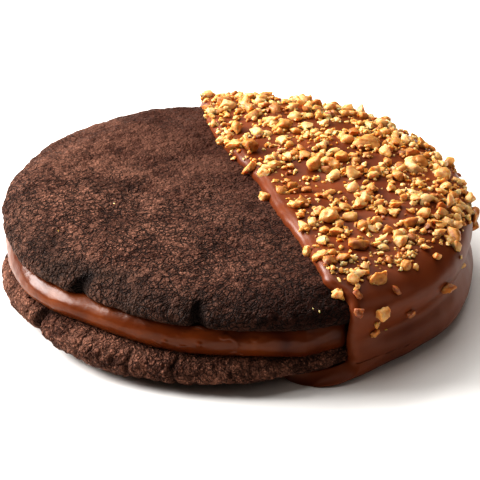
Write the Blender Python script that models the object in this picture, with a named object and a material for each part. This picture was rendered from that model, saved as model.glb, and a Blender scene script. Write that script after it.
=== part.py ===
"""Chocolate sandwich cookie, dipped at one side in milk chocolate and chopped nuts.

Metres, +Z up. The cookie lies flat on z = 0, and the origin is under the middle of the whole.
Two dark cocoa biscuits hold a chocolate filling. The chocolate shell wraps the dipped side on
top, round the rim and underneath, and the nuts are fused to it. A place on the cookie is given
by its angle round the axis (0 is +X, 90 is +Y) and its latitude (90 is the middle of the top,
0 the waist, -90 the middle of the underside).
"""

import math

import bmesh
import bpy
import numpy as np
from mathutils import Euler, Vector

MM = 0.001

# Driving sizes
AXIS = np.array([-0.68 * MM, -0.72 * MM])  # the biscuits' axis, beside the origin
LID_RADIUS = 41.7 * MM
BASE_RADIUS = 41.5 * MM
BASE_BELLY_Z = 3.6 * MM  # height at which the lower biscuit is widest
BASE_TOP_Z = 6.9 * MM
LID_UNDER_Z = 10.6 * MM
LID_BELLY_Z = 12.7 * MM
LID_SHOULDER_Z = 17.1 * MM
DOME_RISE = 1.0 * MM  # how far the lid's middle stands above its shoulder
GAP = 0.3 * MM  # clearance between neighbouring pieces

# The dip: the shell covers all that lies further than DIP_OFFSET along DIP_ANGLE
DIP_ANGLE = math.radians(18.5)
DIP_OFFSET = 3.9 * MM
FOOT_REACH = 8.0 * MM  # how far the pooled foot runs back past the dip line
RIM_RETREAT = 3.2 * MM  # how far the dip line falls back as it goes over the front rim
BACK_RETREAT = 2.4 * MM  # and over the back rim
SHELL = 1.2 * MM
UNDERCOAT = 0.4 * MM  # clearance under the shell
LIP = 1.3 * MM  # width over which the shell's edge rounds off
WAIST = 14.0  # latitude, in degrees, where the rims' bellies lie
GROOVE = 1.5 * MM  # depth of the shell's furrow between the two rims
INSET = 0.6 * MM  # how much narrower the biscuits are where the shell hides them
PROP = 1.6 * MM  # the shell under the dipped side holds the lower biscuit this high
POOL_TOP_Z = 4.0 * MM  # height at which the pooled chocolate's spread has died out

# Grid counts
ROUND_STEPS = 96
FILLING_STEPS = 72
SHELL_RINGS = 16
SHELL_SPOKES = 56

# Outline waves: (crests round the rim, height, angle of a crest in degrees)
LID_WAVES = [(2, 0.35 * MM, 130), (3, 0.3 * MM, 75), (5, 0.2 * MM, 20), (9, 0.12 * MM, 8)]
BASE_WAVES = [(2, 0.3 * MM, 20), (3, 0.35 * MM, 95), (5, 0.3 * MM, 44), (8, 0.15 * MM, 12)]
# Dents in an outline: (angle, half width in degrees, depth)
LID_DENTS = [
    (232, 17, 1.6 * MM),
    (2, 28, 0.9 * MM),
    (153, 20, -0.8 * MM),
    (141, 14, -1.5 * MM),
    (116, 17, -1.9 * MM),
]
BASE_DENTS = [(246, 34, -2.4 * MM), (228, 14, -0.6 * MM), (276, 14, -1.2 * MM), (345, 28, 1.1 * MM)]
# Where the lid's edge lifts off the filling or sags onto it: (angle, half width, rise)
LID_LIFTS = [(238, 26, 0.7 * MM), (296, 18, -0.5 * MM)]
# Where the pooled chocolate spreads over the table: (angle, half width, reach)
POOLS = [(291, 15, 2.5 * MM)]
# The filling: its least bulge, where it bulges more, and how far it sets back from the rims
LEAST_BULGE = 0.4 * MM
BULGES = [(222, 30, 1.5 * MM), (270, 25, 0.4 * MM)]
BARE_SETBACK = 1.2 * MM
COVERED_SETBACK = 3.2 * MM
# Clefts in a rim: (angle, half width, depth)
LID_CLEFTS = [(260, 2.4, 1.3 * MM), (226, 3.0, 1.5 * MM), (148, 2.5, 0.6 * MM)]
BASE_CLEFTS = [(214, 2.6, 2.0 * MM), (244, 2.2, 0.7 * MM), (255, 2.2, 0.8 * MM), (130, 2.6, 1.0 * MM)]

# Chopped nuts
NUT_COUNT = 128
NUT_SEED = 11
LONGEST_NUT = 4.3 * MM
SHORTEST_NUT = 1.7 * MM
DEEPEST = 0.9 * MM  # how far a chip sinks into the shell at most
LIP_CLEARANCE = 2.2 * MM  # how far the chips keep from the dip line


def clear_scene():
    for thing in list(bpy.data.objects):
        bpy.data.objects.remove(thing, do_unlink=True)


def material(name, colour, roughness):
    """A plain Principled material."""
    made = bpy.data.materials.new(name)
    made.use_nodes = True
    shader = made.node_tree.nodes["Principled BSDF"]
    shader.inputs["Base Color"].default_value = (*colour, 1.0)
    shader.inputs["Roughness"].default_value = roughness
    shader.inputs["Metallic"].default_value = 0.0
    return made


def smoothstep(value, low, high):
    """0 below low, 1 above high, and an even S between."""
    t = np.clip((value - low) / (high - low), 0.0, 1.0)
    return t * t * (3 - 2 * t)


def bumps(angle, places):
    """Bell-shaped bumps round the rim: the sum of height * exp(-(distance / half width)^2)."""
    total = np.zeros_like(angle)
    for centre, half_width, height in places:
        away = np.angle(np.exp(1j * (angle - math.radians(centre))))
        total += height * np.exp(-((away / math.radians(half_width)) ** 2))
    return total


def rim_radius(angle, radius, waves, dents):
    """Plan radius of a biscuit at its belly."""
    made = np.full_like(angle, radius)
    for crests, height, crest in waves:
        made += height * np.cos(crests * (angle - math.radians(crest)))
    return made - bumps(angle, dents)


def lid_radius(angle):
    return rim_radius(angle, LID_RADIUS, LID_WAVES, LID_DENTS)


def base_radius(angle):
    return rim_radius(angle, BASE_RADIUS, BASE_WAVES, BASE_DENTS)


def swell(x, y):
    """Gentle rise and fall of the baked top, as three crossing waves."""
    return 0.22 * MM * (
        np.cos(2 * math.pi * (x * 0.9 + y * 0.5) / (27 * MM) + 0.6)
        + 0.8 * np.cos(2 * math.pi * (x * 0.3 - y) / (21 * MM) + 2.1)
        + 0.6 * np.cos(2 * math.pi * (x - y * 0.7) / (15 * MM) + 4.0)
    )


def dip_distance(x, y):
    """How far a place lies along the dip's direction from the biscuits' axis."""
    return x * math.cos(DIP_ANGLE) + y * math.sin(DIP_ANGLE)


def lid_top(r, angle):
    """Height of the lid's upper face at r, its share of the rim radius: a shoulder that rounds
    down to the belly, under a low dome and the swell."""
    rho = r * lid_radius(angle)
    shoulder = np.sqrt(1 - np.clip(r, 0, 1) ** 8)
    dome = DOME_RISE * (1 - r**2)
    inside = 1 - smoothstep(r, 0.8, 1.0)
    rise = LID_SHOULDER_Z - LID_BELLY_Z
    return LID_BELLY_Z + rise * shoulder + dome + inside * swell(rho * np.cos(angle), rho * np.sin(angle))


def lid_under(r, angle):
    """Height of the lid's underside: flat, with a corner that rounds up to the belly."""
    lift = bumps(angle, LID_LIFTS) * smoothstep(r, 0.55, 0.95)
    low = LID_UNDER_Z + lift
    return LID_BELLY_Z - (LID_BELLY_Z - low) * np.sqrt(1 - np.clip(r, 0, 1) ** 22)


def base_top(r, angle):
    """Height of the lower biscuit's upper face: flat, with a corner that rounds down."""
    return BASE_BELLY_Z + (BASE_TOP_Z - BASE_BELLY_Z) * np.sqrt(1 - np.clip(r, 0, 1) ** 18) + 0 * angle


def base_under(r, angle):
    """Height of the lower biscuit's underside. It rests on z = 0 at the bare side, and the
    shell props it up by PROP at the dipped side."""
    rho = r * base_radius(angle)
    away = dip_distance(rho * np.cos(angle), rho * np.sin(angle))
    low = PROP * smoothstep(away, -20 * MM, -8 * MM)
    round_off = np.sqrt(1 - np.clip((r - 0.82) / 0.18, 0, 1) ** 6)
    return BASE_BELLY_Z - (BASE_BELLY_Z - low) * round_off


def place(r, angle, radius, z):
    """Points in space, from the share of the rim radius, the angle and the height."""
    rho = r * radius
    return np.stack([AXIS[0] + rho * np.cos(angle), AXIS[1] + rho * np.sin(angle), z], axis=-1)


def crags(angle, z, seed):
    """Coarse rough relief of a rim, never outwards: crossing waves of 5 to 9 mm."""
    arc = angle * LID_RADIUS
    turns = 2 * math.pi * LID_RADIUS
    wave = 0.0
    for n, length in enumerate([9.0, 6.7, 5.2]):
        count = round(turns / (length * MM))
        wave = wave + np.cos(count * arc / LID_RADIUS + seed * (n + 1) + z / (2.1 * MM) * (n - 1))
    return 0.12 * MM * (wave - 3)


def closed_rings(name, rings, finish):
    """A solid from rings of points, top to bottom, with its first and last ring closed by one
    point each in their middle."""
    around = rings[0].shape[0]
    points = [tuple(p) for ring in rings for p in ring]
    faces = []
    for level in range(len(rings) - 1):
        for i in range(around):
            j = (i + 1) % around
            upper, lower = level * around, (level + 1) * around
            faces.append((upper + i, lower + i, lower + j, upper + j))
    top, bottom = len(points), len(points) + 1
    points += [tuple(rings[0].mean(axis=0)), tuple(rings[-1].mean(axis=0))]
    last = (len(rings) - 1) * around
    faces += [(top, i, (i + 1) % around) for i in range(around)]
    faces += [(bottom, last + (i + 1) % around, last + i) for i in range(around)]
    mesh = bpy.data.meshes.new(name)
    mesh.from_pydata(points, [], faces)
    made = bpy.data.objects.new(name, mesh)
    bpy.context.scene.collection.objects.link(made)
    mesh.materials.append(finish)
    mesh.shade_smooth()
    mesh.set_sharp_from_angle(angle=math.radians(40))
    return made


def around(steps):
    return np.arange(steps) * 2 * math.pi / steps


def make_lid(finish):
    """The upper biscuit: domed and swelling on top, cleft and craggy at the rim, flat below."""
    angle = around(ROUND_STEPS)
    radius = lid_radius(angle)
    shares_up = [0.12, 0.28, 0.44, 0.6, 0.75, 0.87, 0.94, 0.985]
    shares_down = [1.0, 0.985, 0.94, 0.4]
    rings = []
    for r in shares_up:
        z = lid_top(np.full_like(angle, r), angle)
        rings.append(place(r, angle, radius, z))
    for r in shares_down:
        z = lid_under(np.full_like(angle, r), angle)
        rings.append(place(r, angle, radius, z))
    return closed_rings("cookie_top", roughened(rings, angle, LID_CLEFTS, 1.0, len(rings) - 2), finish)


def make_base(finish):
    """The lower biscuit: flat where it meets the filling, with a rough, cleft rim."""
    angle = around(ROUND_STEPS)
    radius = base_radius(angle)
    shares_up = [0.4, 0.93, 0.98]
    shares_down = [1.0, 0.985, 0.93, 0.8, 0.5, 0.2]
    rings = []
    for r in shares_up:
        z = base_top(np.full_like(angle, r), angle)
        rings.append(place(r, angle, radius, z))
    for r in shares_down:
        z = base_under(np.full_like(angle, r), angle)
        rings.append(place(r, angle, radius, z))
    return closed_rings("cookie_bottom", roughened(rings, angle, BASE_CLEFTS, 2.0, 6), finish)


def roughened(rings, angle, clefts, seed, last):
    """Pushes the rim's rings inwards: by the crags and clefts on the bare side, and by INSET
    under the shell."""
    made = []
    for level, ring in enumerate(rings):
        flat = ring[:, :2] - AXIS
        rho = np.linalg.norm(flat, axis=1)
        share = smoothstep(rho, 33 * MM, 40 * MM) * (0 < level < last)
        ahead = dip_distance(flat[:, 0], flat[:, 1]) - DIP_OFFSET
        bare = 1 - smoothstep(ahead, -6 * MM, 0.0)
        hidden = smoothstep(ahead, -1 * MM, 3 * MM) * smoothstep(rho, 20 * MM, 36 * MM)
        inwards = (bumps(angle, clefts) - crags(angle, ring[:, 2], seed)) * share * bare + INSET * hidden
        ring = ring.copy()
        ring[:, :2] -= flat / rho[:, None] * inwards[:, None]
        made.append(ring)
    return made


def make_filling(finish):
    """The filling: it fills the space between the biscuits, up their rounded corners, and
    bulges out at the bare side."""
    angle = around(FILLING_STEPS)
    covered = smoothstep(dip_distance(np.cos(angle), np.sin(angle)), 0.15, 0.24)
    bulge = LEAST_BULGE + bumps(angle, BULGES)
    out = np.minimum(lid_radius(angle), base_radius(angle))
    edge = out - BARE_SETBACK * (1 - covered) - COVERED_SETBACK * covered
    rings = []
    for share in (0.4, 0.9, 1.0):
        rho = edge * share
        top = lid_under(rho / lid_radius(angle), angle) - GAP
        rings.append(place(1.0, angle, rho, top))
    top = rings[-1][:, 2]
    floor = base_top(edge / base_radius(angle), angle) + GAP
    for turn in (45, 90, 135):
        level = (1 + math.cos(math.radians(turn))) / 2
        reach = edge + bulge * (1 - covered) * math.sin(math.radians(turn))
        rings.append(place(1.0, angle, reach, floor + (top - floor) * level))
    for share in (1.0, 0.9, 0.4):
        rho = edge * share
        rings.append(place(1.0, angle, rho, base_top(rho / base_radius(angle), angle) + GAP))
    return closed_rings("filling", rings, finish)


def envelope(angle, latitude):
    """The sandwich's outside at an angle and a latitude (both radians): the lid's top, the
    furrow between the rims, and the lower biscuit's underside."""
    waist = math.radians(WAIST)
    quarter = math.pi / 2
    up = np.sin(np.clip((quarter - latitude) / (quarter - waist), 0, 1) * quarter)
    down = np.sin(np.clip((quarter + latitude) / (quarter - waist), 0, 1) * quarter)
    across = np.clip(latitude / waist, -1, 1)
    mix = (1 + across) / 2
    radius = base_radius(angle) * (1 - mix) + lid_radius(angle) * mix
    sunk = 0.2 + 0.8 * smoothstep(dip_distance(np.cos(angle), np.sin(angle)), 0.16, 0.34)
    furrow = GROOVE * sunk * (1 + np.cos(math.pi * across)) / 2
    side = place(1.0, angle, radius - furrow, BASE_BELLY_Z + (LID_BELLY_Z - BASE_BELLY_Z) * mix)
    top = place(up, angle, lid_radius(angle), lid_top(up, angle))
    under = place(down, angle, base_radius(angle), base_under(down, angle))
    upper = (latitude > waist)[..., None]
    lower = (latitude < -waist)[..., None]
    return np.where(upper, top, np.where(lower, under, side))


def outward(angle, latitude):
    """Unit normals of the envelope, from small steps along it both ways."""
    step = 1e-4
    along = envelope(angle + step, latitude) - envelope(angle - step, latitude)
    up = envelope(angle, latitude + step) - envelope(angle, latitude - step)
    normal = np.cross(along, up)
    return normal / np.linalg.norm(normal, axis=-1, keepdims=True)


def past_dip_line(points):
    """How far points lie inside the dipped side. The line wavers, and near the table it runs
    back over the foot of pooled chocolate."""
    x, y, z = points[..., 0] - AXIS[0], points[..., 1] - AXIS[1], points[..., 2]
    along = -x * math.sin(DIP_ANGLE) + y * math.cos(DIP_ANGLE)
    waver = 0.35 * MM * np.sin(along / (5.3 * MM) + 0.8) + 0.3 * MM * np.sin(along / (9.7 * MM) + 2.4)
    retreat = RIM_RETREAT * smoothstep(-along, 36 * MM, 41 * MM)
    retreat += BACK_RETREAT * smoothstep(along, 28 * MM, 38 * MM)
    foot = FOOT_REACH * np.clip((BASE_BELLY_Z - z) / (BASE_BELLY_Z - PROP), 0, 1) ** 2.5
    return dip_distance(x, y) - DIP_OFFSET - waver - retreat + foot


def on_cap(polar, around_cap):
    """Angle and latitude of a place on the round cap that faces the dip's direction, polar
    from its middle and around_cap round it."""
    ahead = np.cos(polar)
    aside = np.sin(polar) * np.cos(around_cap)
    up = np.sin(polar) * np.sin(around_cap)
    return DIP_ANGLE + np.arctan2(aside, ahead), np.arcsin(np.clip(up, -1, 1))


def shell_grid():
    """Angles and latitudes of the shell's rings, from its middle out to the dip line."""
    even = np.arange(SHELL_SPOKES) * 2 * math.pi / SHELL_SPOKES
    around_cap = even - 0.42 * np.sin(2 * even)  # closer together over the rims
    reach = np.radians(np.linspace(20, 125, 400))[:, None]
    inside = past_dip_line(envelope(*on_cap(reach, around_cap[None, :])))
    last = np.argmax(inside < 0, axis=0)
    here = np.arange(SHELL_SPOKES)
    before, after = inside[last - 1, here], inside[last, here]
    edge = reach[last - 1, 0] + (reach[last, 0] - reach[last - 1, 0]) * before / (before - after)
    share = np.append(np.arange(1, SHELL_RINGS - 2) / (SHELL_RINGS - 2), [0.967, 0.987, 1.0])
    return on_cap(share[:, None] * edge[None, :], np.broadcast_to(around_cap, (SHELL_RINGS, SHELL_SPOKES)))


def shell_thickness(points):
    """Full inside, and rounded off to a thin lip at the dip line."""
    inside = np.clip(past_dip_line(points) / LIP, 0, 1)
    return SHELL * (0.28 + 0.72 * np.sqrt(1 - (1 - inside) ** 2))


def make_shell(finish):
    """The milk chocolate shell: an outer and an inner skin that meet at the lip."""
    angle, latitude = shell_grid()
    angle = np.vstack([np.full((1, SHELL_SPOKES), DIP_ANGLE), angle])
    latitude = np.vstack([np.zeros((1, SHELL_SPOKES)), latitude])
    skin = envelope(angle, latitude)
    normal = outward(angle, latitude)
    thickness = shell_thickness(skin)[..., None]
    inner = skin + normal * UNDERCOAT
    outer = skin + normal * (UNDERCOAT + thickness)
    inside = np.clip(past_dip_line(skin) / LIP, 0, 1)
    pooled = bumps(angle, POOLS) * inside * (1 - smoothstep(outer[..., 2], 0.3 * MM, POOL_TOP_Z))
    outer[..., 0] += pooled * np.cos(angle)
    outer[..., 1] += pooled * np.sin(angle)
    outer[..., 2] = np.maximum(outer[..., 2], 0.0)
    mesh = bmesh.new()
    poles = [mesh.verts.new(outer[0, 0]), mesh.verts.new(inner[0, 0])]
    outer_rings = [[mesh.verts.new(p) for p in ring] for ring in outer[1:]]
    inner_rings = [[mesh.verts.new(p) for p in ring] for ring in inner[1:]]
    levels = outer_rings + inner_rings[::-1]
    for i in range(SHELL_SPOKES):
        j = (i + 1) % SHELL_SPOKES
        mesh.faces.new((poles[0], levels[0][i], levels[0][j]))
        mesh.faces.new((poles[1], levels[-1][j], levels[-1][i]))
        for first, second in zip(levels, levels[1:]):
            mesh.faces.new((first[i], second[i], second[j], first[j]))
    bmesh.ops.triangulate(mesh, faces=mesh.faces[:])
    bmesh.ops.recalc_face_normals(mesh, faces=mesh.faces[:])
    data = bpy.data.meshes.new("chocolate_shell")
    mesh.to_mesh(data)
    mesh.free()
    made = bpy.data.objects.new("chocolate_shell", data)
    bpy.context.scene.collection.objects.link(made)
    data.materials.append(finish)
    return made


def chip(mesh, draw, centre, normal, length):
    """Adds one nut chip to a bmesh: a blunt block with its corners cut, as chopping leaves it,
    turned at random and sunk a little into the shell."""
    half = length / 2
    sides = np.array([1.0, draw.uniform(0.68, 0.95), draw.uniform(0.45, 0.65)]) * half
    corners = []
    for sx in (-1, 1):
        for sy in (-1, 1):
            for sz in (-1, 1):
                corners.append(Vector(np.array([sx, sy, sz]) * sides * draw.uniform(0.45, 0.95, 3)))
    corners += [Vector((draw.choice([-1, 1]) * sides[0], 0, 0)), Vector((0, draw.choice([-1, 1]) * sides[1], 0))]
    lean = Euler((draw.normal(0, 0.25), draw.normal(0, 0.25), draw.uniform(0, 2 * math.pi))).to_matrix()
    upright = Vector(normal).to_track_quat("Z", "Y").to_matrix()
    turned = [upright @ (lean @ corner) for corner in corners]
    reach = -min(corner.dot(Vector(normal)) for corner in turned)
    sunk = min(DEEPEST, reach * draw.uniform(0.6, 1.0))
    spot = Vector(centre) + Vector(normal) * (reach - sunk)
    made = [mesh.verts.new(spot + corner) for corner in turned]
    hull = bmesh.ops.convex_hull(mesh, input=made)
    inside = [v for v in hull["geom_interior"] if isinstance(v, bmesh.types.BMVert)]
    bmesh.ops.delete(mesh, geom=inside, context="VERTS")


def nut_density(points, angle, latitude):
    """How thickly the nuts lie, from 0 to 1: all over the top, thin at the shoulder over the
    front, a few on the rim, and none near the dip line or the table."""
    rim = 1 - smoothstep(latitude, math.radians(14), math.radians(34))
    front = smoothstep(-np.sin(angle), -0.2, 0.3)
    thin = rim * (0.75 + 0.22 * front)
    low = smoothstep(points[..., 2], 5 * MM, 8 * MM)
    clear = past_dip_line(points) > LIP_CLEARANCE
    return (1 - thin) * low * clear


def nut_places():
    """Seeded spots for the chips on the shell, the largest placed first, each clear of those
    before it: (centre, normal, length)."""
    draw = np.random.default_rng(NUT_SEED)
    tries = 4000
    polar = np.arccos(draw.uniform(math.cos(math.radians(100)), 1.0, tries))
    angle, latitude = on_cap(polar, draw.uniform(0, 2 * math.pi, tries))
    skin = envelope(angle, latitude)
    keep = draw.uniform(0, 1, tries) < nut_density(skin, angle, latitude)
    normal = outward(angle, latitude)[keep]
    centre = skin[keep] + normal * (UNDERCOAT + SHELL)
    lengths = np.linspace(1, 0, NUT_COUNT) ** 1.7 * (LONGEST_NUT - SHORTEST_NUT) + SHORTEST_NUT
    taken = []
    spare = list(range(len(centre)))
    for length in lengths:
        for n in spare:
            if all(np.linalg.norm(centre[n] - c) > 0.5 * (length + other) for c, _, other in taken):
                taken.append((centre[n], normal[n], length))
                spare.remove(n)
                break
    return taken


def without_scraps(mesh):
    """Keeps the largest connected body of a mesh and drops loose scraps and sealed hollows."""
    work = bmesh.new()
    work.from_mesh(mesh)
    bodies, seen = [], set()
    for start in work.verts:
        if start in seen:
            continue
        seen.add(start)
        body, edge = [start], [start]
        while edge:
            for link in edge.pop().link_edges:
                for vertex in link.verts:
                    if vertex not in seen:
                        seen.add(vertex)
                        body.append(vertex)
                        edge.append(vertex)
        bodies.append(body)
    bodies.sort(key=len)
    bmesh.ops.delete(work, geom=[v for body in bodies[:-1] for v in body], context="VERTS")
    work.to_mesh(mesh)
    work.free()


def make_coat(finish):
    """The shell with its nuts fused on, as one solid."""
    shell = make_shell(finish)
    draw = np.random.default_rng(NUT_SEED + 1)
    nuts = bpy.data.collections.new("nuts")
    for centre, normal, length in nut_places():
        mesh = bmesh.new()
        chip(mesh, draw, centre, normal, length)
        bmesh.ops.recalc_face_normals(mesh, faces=mesh.faces[:])
        data = bpy.data.meshes.new("nut")
        mesh.to_mesh(data)
        mesh.free()
        nuts.objects.link(bpy.data.objects.new("nut", data))
    union = shell.modifiers.new("fuse", "BOOLEAN")
    union.operation = "UNION"
    union.operand_type = "COLLECTION"
    union.collection = nuts
    union.solver = "MANIFOLD"
    bpy.context.view_layer.update()
    fused = bpy.data.meshes.new_from_object(shell.evaluated_get(bpy.context.evaluated_depsgraph_get()))
    shell.modifiers.clear()
    without_scraps(fused)
    shell.data = fused
    shell.name = fused.name = "chocolate_coat"
    for nut in list(nuts.objects):
        bpy.data.objects.remove(nut, do_unlink=True)
    bpy.data.collections.remove(nuts)
    fused.shade_smooth()
    fused.set_sharp_from_angle(angle=math.radians(30))
    return shell


def main():
    clear_scene()
    biscuit = material("cocoa_biscuit", (0.045, 0.018, 0.012), 0.8)
    cream = material("chocolate_filling", (0.18, 0.055, 0.018), 0.35)
    milk_chocolate = material("milk_chocolate", (0.13, 0.045, 0.022), 0.4)
    make_base(biscuit)
    make_filling(cream)
    make_lid(biscuit)
    make_coat(milk_chocolate)


main()
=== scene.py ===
import math

import bmesh
import bpy
import numpy as np
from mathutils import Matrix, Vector


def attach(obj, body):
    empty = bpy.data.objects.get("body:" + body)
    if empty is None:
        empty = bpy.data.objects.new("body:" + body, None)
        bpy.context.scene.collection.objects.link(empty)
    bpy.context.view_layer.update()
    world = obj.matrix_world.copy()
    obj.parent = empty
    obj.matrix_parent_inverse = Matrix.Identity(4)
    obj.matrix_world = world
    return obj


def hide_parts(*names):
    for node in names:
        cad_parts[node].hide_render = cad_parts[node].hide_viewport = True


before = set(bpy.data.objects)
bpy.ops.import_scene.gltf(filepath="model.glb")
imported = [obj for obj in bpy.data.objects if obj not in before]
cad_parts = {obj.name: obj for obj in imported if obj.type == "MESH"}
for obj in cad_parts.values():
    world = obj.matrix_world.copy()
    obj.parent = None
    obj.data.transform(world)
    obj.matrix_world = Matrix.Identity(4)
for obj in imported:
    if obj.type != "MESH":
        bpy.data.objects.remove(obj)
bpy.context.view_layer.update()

# The lower biscuit: a dark cocoa biscuit about 7 mm thick, baked on a sheet, with a rough, cleft
# and crumbly rim. It lies on its flat underside, and the chocolate props up its dipped side.
MM = 0.001
AXIS = np.array([-0.68, -0.72]) * MM  # plan place of the two biscuits' axis
BASE_RADIUS = 41.5 * MM
BASE_BELLY_Z = 3.6 * MM  # height at which it is widest
BASE_TOP_Z = 6.9 * MM
BASE_UNDER_POWER = 11  # how square its profile is below the belly, and above it
BASE_TOP_POWER = 16
BASE_END = 0.85  # share of the radius at which its hidden face is closed
PROP = 1.6 * MM  # how high the chocolate holds its dipped side
TABLE_GAP = 0.02 * MM  # keeps what lies on the table just clear of it
# Waves are crests round the rim, height and the angle of a crest. Dents and clefts are angle and
# half width in degrees, and depth, and a dent below 0 stands out.
BASE_WAVES = [(2, 0.3 * MM, 20), (3, 0.35 * MM, 95), (5, 0.3 * MM, 44), (8, 0.15 * MM, 12)]
BASE_DENTS = [
    (246, 34, -2.4 * MM),
    (228, 14, -0.6 * MM),
    (276, 14, -1.2 * MM),
    (345, 28, 1.1 * MM),
]
BASE_CLEFTS = [
    (214, 1.5, 2.3 * MM),
    (244, 0.7, 0.7 * MM),
    (255, 0.7, 0.8 * MM),
    (230, 0.6, 0.4 * MM),
    (197, 0.8, 0.5 * MM),
    (130, 1.6, 1.0 * MM),
]
CLEFT_LEAN = math.radians(1.5)  # how far a cleft wavers
# Crumbs between the cracks, and those that the rim breaks into. Widths are shares of a crumb.
CRACK_CRUMB = 2.2 * MM
CRACK_WIDTH = 0.08
RIM_CRUMB = 1.4 * MM
SEAM_WIDTH = 0.11
# Painted shade that darkens the crust at its back and its front rim, and the rim's charring,
# whose grey is partly painted sheen: angle, half width and amount.
PAINTED_SHADE_BACK = [(105, 45, 0.3)]
PAINTED_SHADE_FRONT = [(278, 46, 0.6)]
CHARRED_RIM_WITH_SHEEN = [(232, 48, 1.0)]
DIP_ANGLE = math.radians(18.5)  # the dipped side faces this way
BISCUIT_HALF = 150  # grid steps from the middle of a biscuit's face to the end of its profile
CROWDING = 0.42  # how far the grid's spokes are drawn to the bare side, in radians
PROFILE_STEPS = 900
PRIMES = (73856093, 19349663, 83492791, 2654435761)
STIRRERS = (2246822519, 3266489917)
ALL_BITS = 0xFFFFFFFF
LOW_BITS = 0xFFFFFF


def smoothstep(value, low, high):
    """0 below low, 1 above high, and an even S between."""
    t = np.clip((value - low) / (high - low), 0.0, 1.0)
    return t * t * (3 - 2 * t)


def bumps(angle, places):
    """Bell-shaped bumps round a rim: the sum of height * exp(-(distance / half width)^2), where
    the distance is the angle from a bump's middle, the shorter way round."""
    total = np.zeros_like(angle)
    for centre, half_width, height in places:
        away = np.angle(np.exp(1j * (angle - math.radians(centre))))
        total += height * np.exp(-((away / math.radians(half_width)) ** 2))
    return total


def rim_radius(angle, radius, waves, dents):
    """Plan radius of a biscuit: a circle, plus height * cos(crests * angle), less its dents."""
    made = np.full_like(angle, radius)
    for crests, height, crest in waves:
        made += height * np.cos(crests * (angle - math.radians(crest)))
    return made - bumps(angle, dents)


def base_radius(angle):
    """The lower biscuit's rim: rim_radius with its own waves and dents."""
    return rim_radius(angle, BASE_RADIUS, BASE_WAVES, BASE_DENTS)


def dip_distance(x, y):
    """How far a place lies from the biscuits' axis along the dip's direction."""
    return x * math.cos(DIP_ANGLE) + y * math.sin(DIP_ANGLE)


def round_axis(radius, angle, height):
    """Points at a radius and an angle round the biscuits' axis, at a height."""
    x, y = AXIS[0] + radius * np.cos(angle), AXIS[1] + radius * np.sin(angle)
    return np.stack([x, y, height], axis=-1)


def level_out(angle):
    """Level unit vectors that point away from the axis."""
    return np.stack([np.cos(angle), np.sin(angle), np.zeros_like(angle)], axis=-1)


def scramble(cell, seed):
    """Three repeatable random numbers from 0 to 1 for each whole-numbered cell of space: the
    cell's numbers times large primes, combined and stirred three times over."""
    cell = cell.astype(np.int64)
    n = cell[..., 0] * PRIMES[0] ^ cell[..., 1] * PRIMES[1] ^ cell[..., 2] * PRIMES[2]
    n = n ^ seed * PRIMES[3]
    made = []
    for _ in range(3):
        n = (n ^ (n >> 15)) * STIRRERS[0] & ALL_BITS
        n = (n ^ (n >> 13)) * STIRRERS[1] & ALL_BITS
        made.append(((n ^ (n >> 16)) & LOW_BITS) / LOW_BITS)
    return np.stack(made, axis=-1)


def noise(points, size, seed):
    """Smooth noise from about -1 to 1 with features of one size: a random slope at each corner
    of a grid of that size, blended across the cell."""
    spot = points / size
    cell = np.floor(spot)
    inside = spot - cell
    ease = inside**3 * (inside * (inside * 6 - 15) + 10)
    total = 0.0
    for corner in np.ndindex(2, 2, 2):
        corner = np.array(corner)
        slope = scramble(cell + corner, seed) * 2 - 1
        weight = np.prod(np.where(corner == 1, ease, 1 - ease), axis=-1)
        total = total + weight * (slope * (inside - corner)).sum(axis=-1)
    return total * 1.6  # the blend alone seldom passes 0.6


def crumb_cells(points, size, seed):
    """Distances, in cells, from each point to its nearest and second nearest crumb centre, with
    one centre at a random place in each cell of a grid of that size."""
    spot = points / size
    cell = np.floor(spot)
    nearest = np.full(points.shape[:-1], 9.0)  # further than any centre is
    second = nearest.copy()
    for step in np.ndindex(3, 3, 3):
        there = cell + np.array(step) - 1
        away = np.linalg.norm(there + scramble(there, seed) - spot, axis=-1)
        second = np.minimum(second, np.maximum(nearest, away))
        nearest = np.minimum(nearest, away)
    return nearest, second


def crust_relief(points, rim, seed, crumble):
    """Height of the baked crust, and how hollow each place is, from 0 to 1. The height is soft
    lumps of 6.5 and 3.1 mm and grain of 1.6 and 0.75 mm, less exp(-(gap / width)^2) where two
    crumbs meet, torn open in patches of 4 and 1.5 mm. rim is 1 at the rim and 0 on the smoother
    face, and crumble is how far the rim breaks up. The numbers before each term are mm."""
    lumps = 0.16 * noise(points, 6.5 * MM, seed) + 0.13 * noise(points, 3.1 * MM, seed + 1)
    grain = 0.09 * noise(points, 1.6 * MM, seed + 9) + 0.07 * noise(points, 0.75 * MM, seed + 8)
    warp = 0.8 * MM * np.stack([noise(points, 1.7 * MM, seed + n) for n in (2, 3, 4)], axis=-1)
    near, second = crumb_cells(points + warp, CRACK_CRUMB, seed + 5)
    torn = noise(points, 4.0 * MM, seed + 6) + 0.6 * noise(points, 1.5 * MM, seed + 10)
    crack = np.exp(-(((second - near) / CRACK_WIDTH) ** 2)) * smoothstep(torn + 0.3 * rim, 0.0, 0.4)
    near, second = crumb_cells(points + 0.5 * warp, RIM_CRUMB, seed + 7)
    broken = rim * crumble
    crumb = (0.5 - near) * broken
    seam = np.exp(-(((second - near) / SEAM_WIDTH) ** 2)) * broken * smoothstep(torn, -0.5, 0.3)
    height = lumps * (1 + 0.9 * broken) + grain * (1 + broken)
    height = height + 0.16 * crumb - crack * (0.12 + 0.14 * broken) - 0.09 * seam
    hollow = 0.6 * crack + 0.4 * seam - 0.5 * crumb - 1.2 * grain
    return height * MM, np.clip(hollow, 0, 1)


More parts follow.
